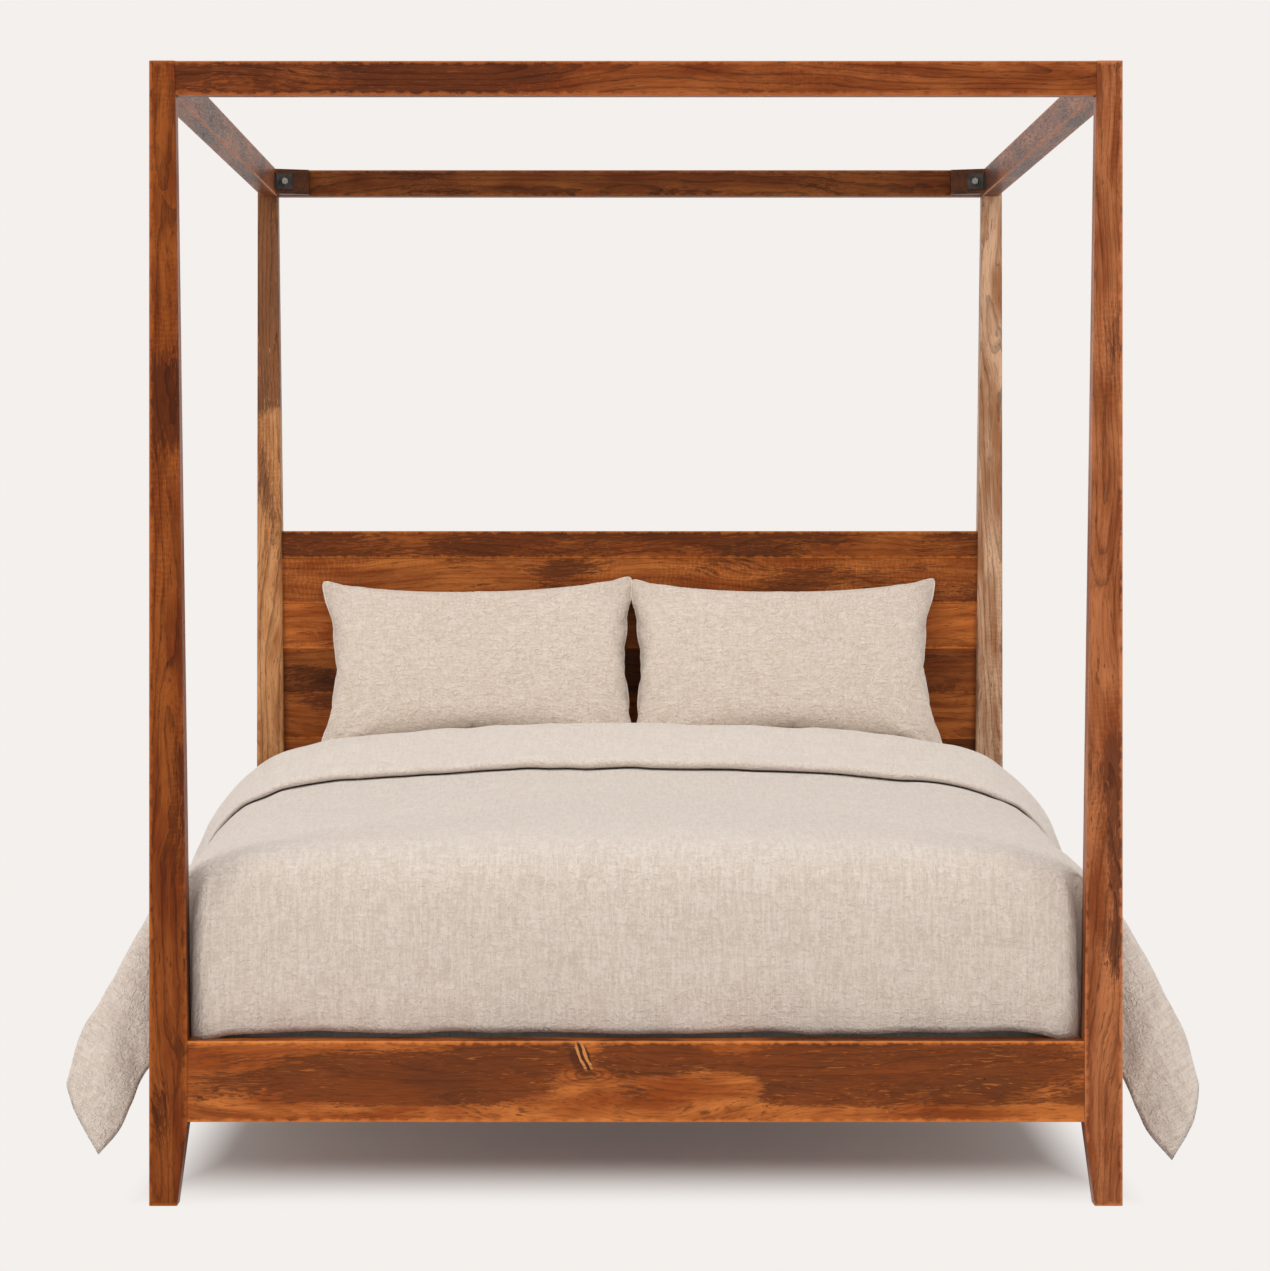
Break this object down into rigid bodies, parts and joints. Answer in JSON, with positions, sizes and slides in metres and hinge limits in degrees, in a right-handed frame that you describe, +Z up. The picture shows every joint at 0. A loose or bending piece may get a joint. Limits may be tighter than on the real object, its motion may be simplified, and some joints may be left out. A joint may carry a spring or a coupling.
{
  "type": "canopy bed",
  "caption": "Wooden canopy bed with tapered square posts, an open top frame, a boarded headboard, slats, mattress, duvet with a turned-down band and leaning pillows.",
  "frame": {"origin": "on the floor under the middle of the bed", "axes": "+Z up, -Y out of the foot end, +Y out of the headboard, +X to the right seen from the foot"},
  "size_m": [2.092, 2.184, 2.032],
  "materials": {
    "frame_wood": "oiled satin",
    "headboard_wood": "oiled satin",
    "slat_wood": "planed",
    "dark_steel": "matte black",
    "zinc_steel": "zinc plated",
    "glide_plastic": "matte",
    "mattress_ticking": "woven",
    "foundation_cloth": "woven",
    "duvet_linen": "slubby linen",
    "pillow_linen": "slubby linen"
  },
  "bodies": {
    "bed": {"beam_saddle_foot": "dark_steel", "beam_saddle_head": "dark_steel", "canopy_bracket_bolts": "dark_steel", "canopy_bracket_left": "dark_steel", "canopy_bracket_right": "dark_steel", "canopy_bracket_washers": "dark_steel", "canopy_corner_block_left": "frame_wood", "canopy_corner_block_right": "frame_wood", "canopy_rail_foot": "frame_wood", "canopy_rail_head": "frame_wood", "canopy_rail_left": "frame_wood", "canopy_rail_right": "frame_wood", "centre_beam": "slat_wood", "centre_leg": "slat_wood", "centre_leg_glide": "glide_plastic", "duvet": "duvet_linen", "foot_post_left": "frame_wood", "foot_post_right": "frame_wood", "foot_rail": "frame_wood", "foundation": "foundation_cloth", "head_post_left": "frame_wood", "head_post_right": "frame_wood", "head_rail": "frame_wood", "headboard_batten_left": "headboard_wood", "headboard_batten_right": "headboard_wood", "headboard_board_1": "headboard_wood", "headboard_board_2": "headboard_wood", "headboard_board_3": "headboard_wood", "headboard_board_4": "headboard_wood", "headboard_board_5": "headboard_wood", "headboard_board_6": "headboard_wood", "headboard_board_7": "headboard_wood", "headboard_board_8": "headboard_wood", "headboard_board_9": "headboard_wood", "mattress": "mattress_ticking", "side_rail_bolts": "zinc_steel", "side_rail_left": "frame_wood", "side_rail_nuts": "zinc_steel", "side_rail_plate_washers": "zinc_steel", "side_rail_right": "frame_wood", "slat_01": "slat_wood", "slat_02": "slat_wood", "slat_03": "slat_wood", "slat_04": "slat_wood", "slat_05": "slat_wood", "slat_06": "slat_wood", "slat_07": "slat_wood", "slat_08": "slat_wood", "slat_09": "slat_wood", "slat_10": "slat_wood", "slat_cleat_left": "slat_wood", "slat_cleat_right": "slat_wood"},
    "pillow_left": {"pillow_left": "pillow_linen"},
    "pillow_right": {"pillow_right": "pillow_linen"}
  },
  "joints": [
    {"name": "pillow_left_lift", "type": "slide", "parent": "bed", "child": "pillow_left", "axis": [0, 0, 1], "range_m": [0, 0.55]},
    {"name": "pillow_right_lift", "type": "slide", "parent": "bed", "child": "pillow_right", "axis": [0, 0, 1], "range_m": [0, 0.55]}
  ]
}
